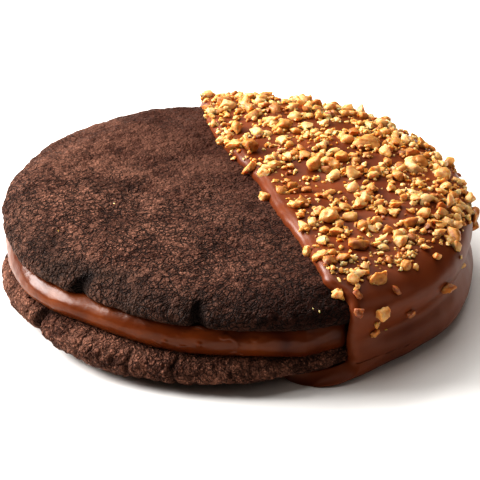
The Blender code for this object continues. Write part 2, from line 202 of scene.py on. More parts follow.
def disc_grid(half):
    """A square grid bent into rings: the share of the way out is the larger of |u| and |v|, and
    the angle runs evenly along the four sides. Gives share, angle, quads and the outer loop."""
    k = np.arange(-half, half + 1) / half
    u, v = np.meshgrid(k, k)
    share = np.maximum(np.abs(u), np.abs(v))
    wide = np.abs(u) >= np.abs(v)
    with np.errstate(divide="ignore", invalid="ignore"):
        flat = math.pi / 4 * np.where(u == 0, 0, v / u) + np.where(u < 0, math.pi, 0)
        steep = math.pi / 2 - math.pi / 4 * np.where(v == 0, 0, u / v) + np.where(v < 0, math.pi, 0)
    angle = np.where(wide, flat, steep)
    side = 2 * half + 1
    index = np.arange(side * side).reshape(side, side)
    quads = np.stack([index[:-1, :-1], index[:-1, 1:], index[1:, 1:], index[1:, :-1]], axis=-1)
    loop = np.concatenate([index[0, :-1], index[:-1, -1], index[-1, :0:-1], index[:0:-1, 0]])
    return share.ravel(), angle.ravel(), quads.reshape(-1, 4), loop


def make_mesh(name, points, faces):
    """A smooth-shaded mesh object from an array of points and a list of faces."""
    mesh = bpy.data.meshes.new(name)
    mesh.from_pydata(points.tolist(), [], faces)
    mesh.shade_smooth()
    made = bpy.data.objects.new(name, mesh)
    bpy.context.scene.collection.objects.link(made)
    return made


def vertex_rows(piece, name):
    """A mesh's places ("co") or normals ("normal"), as rows of three."""
    made = np.empty(len(piece.data.vertices) * 3)
    piece.data.vertices.foreach_get(name, made)
    return made.reshape(-1, 3)


def set_points(piece, points):
    """Puts new places into a mesh and works out its normals again."""
    piece.data.vertices.foreach_set("co", points.ravel())
    piece.data.update()


def note(piece, name, values):
    """Stores one number for each vertex, for the material to read."""
    kept = piece.data.attributes.new(name, "FLOAT", "POINT")
    kept.data.foreach_set("value", np.asarray(values, dtype=np.float32))


def turned_profile(upper_power, lower_power, radius, rise, drop, end):
    """A biscuit's half profile, evenly spaced along its length: r, the share of the rim radius,
    and h, 1 at the upper face, 0 at the belly and -1 at the lower face. Each half is a curve
    h = sqrt(1 - r^power), and the lower one stops at r = end."""
    t = np.linspace(0, math.pi / 2, PROFILE_STEPS)
    r = np.concatenate([np.sin(t) ** (2 / upper_power), np.sin(t[::-1]) ** (2 / lower_power)])
    h = np.concatenate([np.cos(t), -np.cos(t[::-1])])
    kept = (h >= 0) | (r > end)
    r, h = r[kept], h[kept]
    step = np.hypot(np.diff(r * radius), np.diff(np.where(h > 0, h * rise, h * drop)))
    length = np.concatenate([[0], np.cumsum(step)])
    return length / length[-1], r, h


def biscuit(name, profile, radius_at, height_at, clefts, seed, flip, crumble):
    """A biscuit from its turned profile: the radius and height at each share and angle, pushed
    in at the clefts, then raised or sunk along its normals by the crust's relief. Its spokes are
    drawn together on the bare side, where it shows, by an angle in proportion to the sine. The
    crust's material reads how hollow each place is, for painted shade in hollows and clefts; the
    painted shade kept as baked, towards the dip, at the back and at the front rim; the rim's
    charring, whose grey is partly painted sheen; and how coarse each place is."""
    share, angle, quads, loop = disc_grid(BISCUIT_HALF)
    angle = angle + CROWDING * np.sin(angle - DIP_ANGLE)
    r, h = np.interp(share, profile[0], profile[1]), np.interp(share, profile[0], profile[2])
    points = round_axis(radius_at(angle) * r, angle, height_at(r, h, angle))
    faces = (quads[:, ::-1] if flip else quads).tolist()
    faces.append((loop if flip else loop[::-1]).tolist())
    made = make_mesh(name, points, faces)
    rim = smoothstep(r, 0.86, 0.98)
    lean = CLEFT_LEAN * noise(points, 4 * MM, seed + 20)
    cleft = bumps(angle + lean, clefts) * smoothstep(r, 0.9, 0.985)
    height, hollow = crust_relief(points, rim, seed, crumble)
    raised = vertex_rows(made, "normal") * (height - 0.1 * MM * rim)[:, None]
    points = points + raised - level_out(angle) * cleft[:, None]
    set_points(made, points)
    # Painted shade: the material darkens each place by how hollow it is, most in the clefts.
    note(made, "hollow", np.clip(hollow + cleft / (0.6 * MM), 0, 1))
    # Painted shade, kept as baked: darker towards the dipped side, at the back and at the front
    # rim.
    shade_to_dip = smoothstep(dip_distance(points[:, 0], points[:, 1]), -26 * MM, 10 * MM)
    band = smoothstep(r + 0.04 * noise(points, 9 * MM, seed + 31), 0.78, 0.93)
    baked = 0.6 * shade_to_dip + bumps(angle, PAINTED_SHADE_BACK) * r + bumps(angle, PAINTED_SHADE_FRONT) * band
    note(made, "baked", np.clip(baked, 0, 1))
    # The rim's charring at the front left, whose grey is partly painted sheen.
    streaks = 0.75 + 0.5 * noise(points, 7 * MM, seed + 30)
    note(made, "charred_with_sheen", np.clip(band * bumps(angle, CHARRED_RIM_WITH_SHEEN) * streaks, 0, 1))
    ahead = 6 * MM * noise(points, 9 * MM, seed + 32) - 0.45 * points[:, 0] - 0.9 * points[:, 1]
    note(made, "coarse", smoothstep(ahead, -22 * MM, 24 * MM))
    return made


def base_height(r, h, angle):
    """Height of the lower biscuit, where h runs from 1 at its underside to -1 at its top: the
    belly, less h times the depth below it, or h times the rise above it."""
    rho = r * base_radius(angle)
    away = dip_distance(rho * np.cos(angle), rho * np.sin(angle))
    low = PROP * smoothstep(away, -20 * MM, -8 * MM)
    under = BASE_BELLY_Z - (BASE_BELLY_Z - low) * h
    return np.where(h >= 0, under, BASE_BELLY_Z - (BASE_TOP_Z - BASE_BELLY_Z) * h)


base_rise = BASE_TOP_Z - BASE_BELLY_Z
base_profile = turned_profile(
    BASE_UNDER_POWER, BASE_TOP_POWER, BASE_RADIUS, BASE_BELLY_Z, base_rise, BASE_END
)
lower = biscuit(
    "lower_biscuit",
    base_profile,
    base_radius,
    base_height,
    BASE_CLEFTS,
    seed=40,
    flip=True,
    crumble=1.0,
)
lower_points = vertex_rows(lower, "co")
lower_points[:, 2] = np.maximum(lower_points[:, 2], TABLE_GAP)
set_points(lower, lower_points)


def linear(code):
    """An sRGB hex colour as the linear red, green, blue and alpha that shaders take."""
    parts = [int(code[n : n + 2], 16) / 255 for n in (1, 3, 5)]
    return (*[p / 12.92 if p <= 0.04045 else ((p + 0.055) / 1.055) ** 2.4 for p in parts], 1.0)


def connect(tree, node, links):
    """Gives each named input its value or its link. A node stands for its first output."""
    for name, value in links.items():
        if isinstance(value, bpy.types.Node):
            value = value.outputs[0]
        if isinstance(value, bpy.types.NodeSocket):
            tree.links.new(value, node.inputs[name])
        else:
            node.inputs[name].default_value = value


def add(tree, kind, links=None, **settings):
    """Adds a node, sets what settings names, and connects its inputs."""
    made = tree.nodes.new(kind)
    for name, value in settings.items():
        setattr(made, name, value)
    connect(tree, made, links or {})
    return made


def new_material(name):
    """An empty Principled material, with its tree and its shader."""
    made = bpy.data.materials.new(name)
    made.use_nodes = True
    return made, made.node_tree, made.node_tree.nodes["Principled BSDF"]


# Baked cocoa biscuit: flour, sugar and dark cocoa baked dry. It is matt and mottled, finely
# crackled and pitted, with dusty brown crests and pale grains whose bright middles are painted
# glints. Painted shade darkens its pits and cracks and where the light falls off, and its rim has
# a char of a greyer brown that is partly painted sheen.
# Painted shade for pits and cracks and for where the light falls off, and a char grey that is
# partly painted sheen.
CRUST_PIT_SHADE = linear("#1c0d08")
CRUST_PAINTED_SHADE = linear("#38190f")
CRUST_CHARRED_WITH_SHEEN = linear("#3e2b21")
CRUST_GRAIN = 0.42 * MM
CRUST_CRUMB = 1.2 * MM
DUSTY = (1.0, 0.76, 0.62, 1.0)  # tint of the faint sheen that cocoa dust gives


def crackle(tree, place, cell, width, patch, more):
    """Thin cracks round cells of one size, 1 in the middle of a crack and 0 at its width from
    there. They are left out in patches, where noise plus more is low."""
    links = {"Vector": place, "Scale": 1 / (0.7 * cell), "Detail": 3.0}
    bend = add(tree, "ShaderNodeTexNoise", links).outputs["Color"]
    links = {0: bend, 1: [0.5 * cell] * 3, 2: place}
    shift = add(tree, "ShaderNodeVectorMath", links, operation="MULTIPLY_ADD")
    links = {"Vector": shift, "Scale": 1 / cell}
    away = add(tree, "ShaderNodeTexVoronoi", links, feature="DISTANCE_TO_EDGE")
    links = {0: away.outputs["Distance"], 1: 0.0, 2: width / cell, 3: 1.0, 4: 0.0}
    line = add(tree, "ShaderNodeMapRange", links, interpolation_type="SMOOTHSTEP")
    links = {"Vector": place, "Scale": 1 / patch, "Detail": 4.0, "Roughness": 0.65}
    torn = add(tree, "ShaderNodeTexNoise", links)
    torn = add(tree, "ShaderNodeMath", {0: torn, 1: more}, operation="ADD")
    links = {0: torn, 1: 0.5, 2: 0.58}
    torn = add(tree, "ShaderNodeMapRange", links, interpolation_type="SMOOTHSTEP")
    return add(tree, "ShaderNodeMath", {0: line, 1: torn}, operation="MULTIPLY")


def crumbs(tree, place, size):
    """Crumbs of one size: how high each place stands on its crumb, from 1 near the middle to 0
    at the edge, and a number from 0 to 1 for each crumb."""
    cells = add(tree, "ShaderNodeTexVoronoi", {"Vector": place, "Scale": 1 / size})
    number = add(tree, "ShaderNodeSeparateColor", {0: cells.outputs["Color"]})
    links = {0: cells.outputs["Distance"], 1: 0.15, 2: 0.8, 3: 1.0, 4: 0.0}
    return add(tree, "ShaderNodeMapRange", links, interpolation_type="SMOOTHSTEP"), number


def baked_crust(name, dark, light, charred_with_sheen, baked, cracked):
    """The crust's two colours, and how much of its rim's charring, whose grey is partly painted
    sheen, of the painted shade kept as baked, towards the dip, the back and the front rim, and
    of its cracks show. Its tone is clouds of 9 mm, plus pale grains whose bright middles are
    painted glints, plus a number for each crumb. The painted shade, the char and painted shade
    in pits and cracks go over that, and the bump is crumbs, grains and grit, less the cracks."""
    made, tree, shader = new_material(name)
    place = add(tree, "ShaderNodeTexCoord").outputs["Object"]
    # hollow and baked carry painted shade, and the char's grey is partly painted sheen.
    hollow_at, char_and_sheen_at, painted_shade_at, coarse_at = [
        add(tree, "ShaderNodeAttribute", attribute_name=kind).outputs["Fac"]
        for kind in ("hollow", "charred_with_sheen", "baked", "coarse")
    ]
    smooth = {"interpolation_type": "SMOOTHSTEP"}
    more, deep, grainy = [
        add(tree, "ShaderNodeMapRange", {0: coarse_at, 3: fine, 4: coarse}, **smooth)
        for fine, coarse in ((-0.06, 0.06), (0.3 * cracked, cracked), (0.55, 0.85))
    ]
    short = crackle(tree, place, 0.9 * MM, 0.11 * MM, 1.8 * MM, more)
    long = crackle(tree, place, 1.9 * MM, 0.17 * MM, 3.2 * MM, more)
    cracks = add(tree, "ShaderNodeMath", {0: short, 1: long}, operation="MAXIMUM")
    times = {"operation": "MULTIPLY"}
    cracks = add(tree, "ShaderNodeMath", {0: cracks, 1: deep}, **times)
    hollow = add(tree, "ShaderNodeMath", {0: hollow_at, 1: deep}, **times)
    # The char, whose grey is partly painted sheen, and the painted shade kept as baked.
    char_and_sheen = add(tree, "ShaderNodeMath", {0: char_and_sheen_at, 1: charred_with_sheen}, **times)
    painted_shade = add(tree, "ShaderNodeMath", {0: painted_shade_at, 1: baked}, **times)
    grain_dome, grain_number = crumbs(tree, place, CRUST_GRAIN)
    crumb_dome, crumb_number = crumbs(tree, place, CRUST_CRUMB)
    links = {"Vector": place, "Scale": 1 / (9 * MM), "Detail": 5.0, "Roughness": 0.65}
    clouds = add(tree, "ShaderNodeTexNoise", links)
    links = {0: clouds, 1: 0.34, 2: 0.66, 3: -0.14, 4: 0.3}
    clouds = add(tree, "ShaderNodeMapRange", links, **smooth)
    # Pale grains: a random pale tone, with painted glints brightest at each grain's middle.
    pale_and_glint = add(tree, "ShaderNodeMath", {0: grain_number, 1: 1.6}, operation="POWER")
    pale_and_glint = add(tree, "ShaderNodeMath", {0: pale_and_glint, 1: grain_dome}, **times)
    plus = {"operation": "MULTIPLY_ADD"}
    shade = add(tree, "ShaderNodeMath", {0: pale_and_glint, 1: grainy, 2: clouds}, **plus)
    shade = add(tree, "ShaderNodeMath", {0: crumb_number, 1: 0.22, 2: shade}, **plus)
    # Painted shade in the cracks and hollows.
    pit_shade = add(tree, "ShaderNodeMath", {0: cracks, 1: 0.9}, **times)
    pit_shade = add(tree, "ShaderNodeMath", {0: pit_shade, 1: hollow}, operation="MAXIMUM")
    # Over the tone go painted shade, the char with its painted sheen, and painted shade in pits.
    colour = dark
    over = [(shade, light), (painted_shade, CRUST_PAINTED_SHADE), (char_and_sheen, CRUST_CHARRED_WITH_SHEEN), (pit_shade, CRUST_PIT_SHADE)]
    for amount, laid in over:
        links = {0: amount, 6: colour, 7: laid}
        colour = add(tree, "ShaderNodeMix", links, data_type="RGBA").outputs[2]
    links = {"Vector": place, "Scale": 1 / (0.4 * MM), "Detail": 3.0, "Roughness": 0.65}
    grit = add(tree, "ShaderNodeTexNoise", links)
    height = add(tree, "ShaderNodeMath", {0: crumb_dome, 1: 0.7}, **times)
    height = add(tree, "ShaderNodeMath", {0: grain_dome, 1: 0.45, 2: height}, **plus)
    height = add(tree, "ShaderNodeMath", {0: grit, 1: 0.6, 2: height}, **plus)
    height = add(tree, "ShaderNodeMath", {0: height, 1: cracks}, operation="SUBTRACT")
    finish = {
        "Base Color": colour,
        "Normal": add(tree, "ShaderNodeBump", {"Height": height, "Distance": 0.34 * MM}),
        "Roughness": add(tree, "ShaderNodeMapRange", {0: char_and_sheen, 3: 0.66, 4: 0.48}, **smooth),
        "IOR": 1.45,
        "Specular IOR Level": 0.14,
        "Sheen Weight": 0.05,
        "Sheen Roughness": 0.45,
        "Sheen Tint": DUSTY,
    }
    connect(tree, shader, finish)
    return made


# Little char, whose grey is partly painted sheen, little painted shade kept as baked, and fainter
# cracks.
lower_crust = baked_crust(
    "baked_cocoa_biscuit_lower",
    dark=linear("#4c2c20"),
    light=linear("#aa7b66"),
    charred_with_sheen=0.12,
    baked=0.1,
    cracked=0.65,
)
lower.data.materials.append(lower_crust)
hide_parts("cookie_bottom")
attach(lower, "root")

# The upper biscuit, baked like the lower one and laid on the filling. Its top swells a little,
# its front left edge has sagged inwards and lifted, and two clefts run down its rim.
LID_RADIUS = 41.7 * MM
LID_UNDER_Z = 10.6 * MM
LID_BELLY_Z = 12.7 * MM
LID_SHOULDER_Z = 17.1 * MM
LID_TOP_POWER = 8  # how square its profile is above the belly, and below it
LID_UNDER_POWER = 22
LID_END = 0.88  # share of the radius at which its hidden face is closed
DOME_RISE = 1.0 * MM
LID_WAVES = [(2, 0.35 * MM, 130), (3, 0.3 * MM, 75), (5, 0.2 * MM, 20), (9, 0.12 * MM, 8)]
LID_DENTS = [
    (232, 17, 1.6 * MM),
    (2, 28, 0.9 * MM),
    (153, 20, -0.8 * MM),
    (141, 14, -1.5 * MM),
    (116, 17, -1.9 * MM),
]
LID_LIFTS = [(238, 26, 0.7 * MM), (296, 18, -0.5 * MM)]
LID_CLEFTS = [(260, 1.2, 1.6 * MM), (226, 1.8, 1.5 * MM), (148, 1.5, 0.6 * MM)]


def lid_radius(angle):
    """The upper biscuit's rim: rim_radius with its own waves and dents."""
    return rim_radius(angle, LID_RADIUS, LID_WAVES, LID_DENTS)


def swell(x, y):
    """Gentle rise and fall of the baked top, as three crossing waves."""
    return 0.22 * MM * (
        np.cos(2 * math.pi * (x * 0.9 + y * 0.5) / (27 * MM) + 0.6)
        + 0.8 * np.cos(2 * math.pi * (x * 0.3 - y) / (21 * MM) + 2.1)
        + 0.6 * np.cos(2 * math.pi * (x - y * 0.7) / (15 * MM) + 4.0)
    )


def lid_top(r, h, angle):
    """Height of the upper face: belly + rise * h, a low dome and the swell."""
    rho = r * lid_radius(angle)
    inside = 1 - smoothstep(r, 0.8, 1.0)
    made = LID_BELLY_Z + (LID_SHOULDER_Z - LID_BELLY_Z) * h + DOME_RISE * (1 - r**2)
    return made + inside * swell(rho * np.cos(angle), rho * np.sin(angle))


def lid_under(r, h, angle):
    """Height of the underside: belly + drop * h, lifted or sagging where LID_LIFTS says."""
    low = LID_UNDER_Z + bumps(angle, LID_LIFTS) * smoothstep(r, 0.55, 0.95)
    return LID_BELLY_Z + (LID_BELLY_Z - low) * h


def lid_height(r, h, angle):
    """lid_top above the belly, where h is over 0, and lid_under below it."""
    return np.where(h >= 0, lid_top(r, h, angle), lid_under(r, h, angle))


lid_rise, lid_drop = LID_SHOULDER_Z - LID_BELLY_Z, LID_BELLY_Z - LID_UNDER_Z
lid_profile = turned_profile(
    LID_TOP_POWER, LID_UNDER_POWER, LID_RADIUS, lid_rise, lid_drop, LID_END
)
upper = biscuit(
    "upper_biscuit",
    lid_profile,
    lid_radius,
    lid_height,
    LID_CLEFTS,
    seed=7,
    flip=False,
    crumble=0.45,
)
# The char's grey is partly painted sheen, and baked sets the painted shade.
upper_crust = baked_crust(
    "baked_cocoa_biscuit_upper",
    dark=linear("#43261b"),
    light=linear("#9a6f5c"),
    charred_with_sheen=0.9,
    baked=1.0,
    cracked=1.0,
)
upper.data.materials.append(upper_crust)
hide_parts("cookie_top")
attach(upper, "root")

# The filling: a soft chocolate and hazelnut cream, spread thick and pressed out between the
# biscuits, so that it bulges past them at the front left and sits back further round.
FILLING_STEPS = 900
FILLING_LEVELS = 44
BULGE = 0.9 * MM  # how far it swells out all round, and further where BULGES says
BULGES = [(222, 30, 1.5 * MM), (270, 25, 0.4 * MM)]
BLISTERED = [(262, 14, 0.25)]
SET_BACK = 1.6 * MM  # how far inside the biscuits' rims it meets them, twice under the chocolate
OVERLAP = 0.35 * MM  # how far it reaches into each biscuit, so that no gap shows


def closed_rings(name, rings):
    """A solid from rings of points, top to bottom, with its first and last ring filled in."""
    levels, around = rings.shape[:2]
    index = np.arange(levels * around).reshape(levels, around)
    right = np.roll(index, -1, axis=1)
    quads = np.stack([index[:-1], index[1:], right[1:], right[:-1]], axis=-1).reshape(-1, 4)
    faces = quads.tolist() + [index[0].tolist(), index[-1][::-1].tolist()]
    return make_mesh(name, rings.reshape(-1, 3), faces)


fill_angle = np.arange(FILLING_STEPS) * 2 * math.pi / FILLING_STEPS
covered = smoothstep(dip_distance(np.cos(fill_angle), np.sin(fill_angle)), 0.15, 0.24)
fill_edge = np.minimum(lid_radius(fill_angle), base_radius(fill_angle)) - SET_BACK * (1 + covered)
lid_r, base_r = fill_edge / lid_radius(fill_angle), fill_edge / base_radius(fill_angle)
ceiling = lid_under(lid_r, -np.sqrt(1 - lid_r**LID_UNDER_POWER), fill_angle) + OVERLAP
ground = BASE_BELLY_Z + base_rise * np.sqrt(1 - base_r**BASE_TOP_POWER) - OVERLAP
level = np.linspace(0, 1, FILLING_LEVELS)[:, None]
bulge = (BULGE + bumps(fill_angle, BULGES)) * (1 - covered) * np.sin(level * math.pi) ** 0.7
rings = round_axis(fill_edge + bulge, fill_angle, ceiling + (ground - ceiling) * level)
waves = 0.16 * noise(rings * [1, 1, 1.6], 6 * MM, 90)
waves = waves + 0.06 * noise(rings * [1, 1, 2.2], 2.4 * MM, 91)
blisters = bumps(fill_angle, BLISTERED) * smoothstep(noise(rings, 1.6 * MM, 92), 0.25, 0.6)
uneven = MM * (waves + blisters) * (1 - covered)
filling = closed_rings("filling_cream", rings + level_out(fill_angle) * uneven[..., None])

# Chocolate cream: cocoa, sugar and nut oil. The oil gives it a wet gloss over a warm brown body
# that lets a little light through.
BROWN_SCATTER = (1.0, 0.4, 0.2)  # red light goes furthest through cocoa
cream, tree, shader = new_material("chocolate_cream")
place = add(tree, "ShaderNodeTexCoord").outputs["Object"]
links = {"Vector": place, "Scale": 1 / (9 * MM), "Detail": 3.0, "Distortion": 0.6}
swirl = add(tree, "ShaderNodeTexNoise", links)
shade = add(tree, "ShaderNodeMapRange", {0: swirl, 1: 0.3, 2: 0.7})
links = {0: shade, 6: linear("#481c08"), 7: linear("#753d18")}
body = add(tree, "ShaderNodeMix", links, data_type="RGBA").outputs[2]
ripple = add(tree, "ShaderNodeTexNoise", {"Vector": place, "Scale": 1 / (2.2 * MM), "Detail": 2.0})
skin = add(tree, "ShaderNodeBump", {"Height": ripple, "Strength": 0.35, "Distance": 0.3 * MM})
finish = {
    "Base Color": body,
    "Normal": skin,
    "Roughness": 0.28,
    "IOR": 1.47,
    "Specular IOR Level": 0.28,
    "Subsurface Weight": 0.12,
    "Subsurface Radius": BROWN_SCATTER,
    "Subsurface Scale": 0.8 * MM,
}
connect(tree, shader, finish)
filling.data.materials.append(cream)
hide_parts("filling")
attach(filling, "root")

# The milk chocolate: the sandwich was dipped in it on edge, so it ends in one nearly straight,
# rounded lip across the top. It sank into a furrow at the filling and pooled to a foot below.
DIP_OFFSET = 3.9 * MM
FOOT_REACH = 8.0 * MM
POOLS = [(291, 15, 2.5 * MM)]  # where the chocolate spread over the sheet
RIM_RETREAT = 3.2 * MM  # how far the dip line falls back as it goes over the front rim
BACK_RETREAT = 2.4 * MM  # and over the back rim
SHELL = 1.6 * MM  # thickness over the biscuit
LIP = 1.5 * MM  # width over which the edge rounds off
WAIST = math.radians(14)  # latitude of the two rims' bellies
GROOVE = 1.5 * MM  # depth of the furrow at the filling
HEEL = 0.82  # share of the radius at which the underside turns up to the rim
TUCK = 0.3 * MM  # how far the edge turns into the biscuit
TUCK_RINGS = 12
COAT_RINGS = 150
COAT_SPOKES = 440
SEARCH = (20, 125, 700)  # degrees over the cap in which each spoke meets the lip, and steps


def envelope(angle, latitude):
    """The sandwich's outside at an angle and a latitude, 90 degrees over the top's middle: the
    lid's top, the furrow between the rims, and the lower biscuit's underside."""
    quarter = math.pi / 2
    up = np.sin(np.clip((quarter - latitude) / (quarter - WAIST), 0, 1) * quarter)
    down = np.sin(np.clip((quarter + latitude) / (quarter - WAIST), 0, 1) * quarter)
    across = np.clip(latitude / WAIST, -1, 1)
    mix = (1 + across) / 2
    sunk = 0.2 + 0.8 * smoothstep(dip_distance(np.cos(angle), np.sin(angle)), 0.16, 0.34)
    furrow = GROOVE * sunk * (1 + np.cos(math.pi * across)) / 2
    side_radius = base_radius(angle) * (1 - mix) + lid_radius(angle) * mix - furrow
    side_z = BASE_BELLY_Z + (LID_BELLY_Z - BASE_BELLY_Z) * mix
    top_z = lid_top(up, np.sqrt(1 - up**LID_TOP_POWER), angle)
    heel = np.clip((down - HEEL) / (1 - HEEL), 0, 1)
    under_z = base_height(down, np.sqrt(1 - heel**6), angle)
    over, under = latitude > WAIST, latitude < -WAIST
    lower_radius = np.where(under, down * base_radius(angle), side_radius)
    radius = np.where(over, up * lid_radius(angle), lower_radius)
    height = np.where(over, top_z, np.where(under, under_z, side_z))
    return round_axis(radius, angle, height)


def outward(angle, latitude):
    """Unit normals of the envelope, from small steps along it both ways."""
    step = 2e-3
    along = envelope(angle + step, latitude) - envelope(angle - step, latitude)
    up = envelope(angle, latitude + step) - envelope(angle, latitude - step)
    normal = np.cross(along, up)
    return normal / np.linalg.norm(normal, axis=-1, keepdims=True)


def past_dip_line(points):
    """How far points lie inside the dipped side: their distance along the dip, less the line's
    offset and waver, less its retreat over the rim, plus the foot's reach near the table."""
    x, y, height = points[..., 0] - AXIS[0], points[..., 1] - AXIS[1], points[..., 2]
    along = -x * math.sin(DIP_ANGLE) + y * math.cos(DIP_ANGLE)
    waver = 0.35 * np.sin(along / (5.3 * MM) + 0.8) + 0.3 * np.sin(along / (9.7 * MM) + 2.4)
    waver = waver + 0.3 * noise(points, 3.3 * MM, 60) + 0.12 * noise(points, 1.2 * MM, 61)
    retreat = RIM_RETREAT * smoothstep(-along, 36 * MM, 41 * MM)
    retreat = retreat + BACK_RETREAT * smoothstep(along, 28 * MM, 38 * MM)
    foot = FOOT_REACH * np.clip((BASE_BELLY_Z - height) / (BASE_BELLY_Z - PROP), 0, 1) ** 2.5
    return dip_distance(x, y) - DIP_OFFSET - waver * MM - retreat + foot


def coat_depth(points):
    """Thickness of the chocolate: SHELL, rounded off as a quarter circle over the lip."""
    inside = np.clip(past_dip_line(points) / LIP, 0, 1)
    return SHELL * np.sqrt(1 - (1 - inside) ** 2)


def on_cap(polar, around_cap):
    """Angle and latitude of a place on a round cap that faces the dip's direction: polar is its
    angle from the cap's middle, and around_cap the angle at which it lies round that."""
    ahead = np.cos(polar)
    aside = np.sin(polar) * np.cos(around_cap)
    up = np.sin(polar) * np.sin(around_cap)
    return DIP_ANGLE + np.arctan2(aside, ahead), np.arcsin(np.clip(up, -1, 1))


# Spokes over the cap, crowded at its sides, run out to where they leave the dipped side.
even = np.arange(COAT_SPOKES) * 2 * math.pi / COAT_SPOKES
around_cap = even - 0.3 * np.sin(2 * even)
trial = np.radians(np.linspace(*SEARCH))[:, None]
inside = past_dip_line(envelope(*on_cap(trial, around_cap)))
last = np.argmax(inside < 0, axis=0)
spoke = np.arange(COAT_SPOKES)
before, after = inside[last - 1, spoke], inside[last, spoke]
edge = trial[last - 1, 0] + (trial[last, 0] - trial[last - 1, 0]) * before / (before - after)
share = 1 - (1 - np.arange(1, COAT_RINGS + 1) / COAT_RINGS) ** 1.25
coat_angle, coat_latitude = on_cap(share[:, None] * edge, around_cap)
under_coat = envelope(coat_angle, coat_latitude)
coat_normal = outward(coat_angle, coat_latitude)
flow = 0.12 * noise(under_coat, 9 * MM, 70) + 0.05 * noise(under_coat, 3.5 * MM, 71)
coat_points = under_coat + coat_normal * (coat_depth(under_coat) * (1 + flow))[..., None]
low = 1 - smoothstep(coat_points[..., 2], 0.3 * MM, 4.0 * MM)
pooled = bumps(coat_angle, POOLS) * low * np.clip(past_dip_line(under_coat) / LIP, 0, 1)
coat_points = coat_points + level_out(coat_angle) * pooled[..., None]
coat_points[..., 2] = np.maximum(coat_points[..., 2], TABLE_GAP)

# A pole at the middle of the cap and two rings that turn in under the lip close the mesh.
inner_points = under_coat - coat_normal * TUCK
pole_angle, pole_latitude = np.array([DIP_ANGLE]), np.array([0.0])
pole = envelope(pole_angle, pole_latitude) + outward(pole_angle, pole_latitude) * SHELL
turned_in = inner_points[[-1, -TUCK_RINGS]].reshape(-1, 3)
all_points = np.concatenate([pole, coat_points.reshape(-1, 3), turned_in])
index = 1 + np.arange((COAT_RINGS + 2) * COAT_SPOKES).reshape(COAT_RINGS + 2, COAT_SPOKES)
right = np.roll(index, -1, axis=1)
quads = np.stack([index[:-1], index[1:], right[1:], right[:-1]], -1).reshape(-1, 4).tolist()
fan = np.stack([np.zeros(COAT_SPOKES, int), index[0], right[0]], -1).tolist()
coat = make_mesh("milk_chocolate_coat", all_points, quads + fan + [index[-1][::-1].tolist()])

# Milk chocolate: sugar, cocoa butter and milk, set in air. It is satin, a warm reddish brown,
# and lets a little red light through where it is thin, at the lip.
chocolate, tree, shader = new_material("milk_chocolate")
place = add(tree, "ShaderNodeTexCoord").outputs["Object"]
cloud = add(tree, "ShaderNodeTexNoise", {"Vector": place, "Scale": 1 / (16 * MM), "Detail": 3.0})
tint = add(tree, "ShaderNodeMapRange", {0: cloud, 1: 0.3, 2: 0.7})
links = {0: tint, 6: linear("#602b10"), 7: linear("#824420")}
body = add(tree, "ShaderNodeMix", links, data_type="RGBA").outputs[2]
film = add(tree, "ShaderNodeTexNoise", {"Vector": place, "Scale": 1 / (1.6 * MM), "Detail": 3.0})
satin = add(tree, "ShaderNodeBump", {"Height": film, "Strength": 0.15, "Distance": 0.2 * MM})
finish = {
    "Base Color": body,
    "Normal": satin,
    "Roughness": 0.38,
    "IOR": 1.47,
    "Specular IOR Level": 0.36,
    "Subsurface Weight": 0.1,
    "Subsurface Radius": BROWN_SCATTER,
    "Subsurface Scale": 0.8 * MM,
}
connect(tree, shader, finish)
coat.data.materials.append(chocolate)
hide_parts("chocolate_coat")
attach(coat, "root")

# The camera: a long lens from the front, looking down at the cookie at the photograph's angle.
ELEVATION = math.radians(27.5)
DISTANCE = 1.0
PIXEL = 0.179 * MM  # size of one pixel at the cookie
IMAGE = 480
SENSOR = 36  # width in mm
AXIS_PIXEL = (237.3, 241.0)  # where the biscuits' axis shows at AXIS_HEIGHT above the table
AXIS_HEIGHT = 8 * MM
view_right = np.array([1.0, 0.0, 0.0])
view_up = np.array([0.0, math.sin(ELEVATION), math.cos(ELEVATION)])
view_ahead = np.array([0.0, math.cos(ELEVATION), -math.sin(ELEVATION)])
off_right, off_down = [(pixel - IMAGE / 2) * PIXEL for pixel in AXIS_PIXEL]
aim = np.array([*AXIS, AXIS_HEIGHT]) - off_right * view_right + off_down * view_up
eye = aim - view_ahead * DISTANCE
lens = bpy.data.cameras.new("camera")
camera = bpy.data.objects.new("camera", lens)
bpy.context.scene.collection.objects.link(camera)
camera.location = eye
camera.rotation_euler = (math.pi / 2 - ELEVATION, 0, 0)
lens.sensor_width = SENSOR
lens.lens = SENSOR * DISTANCE / (IMAGE * PIXEL)
lens.clip_start = 0.01
bpy.context.scene.camera = camera

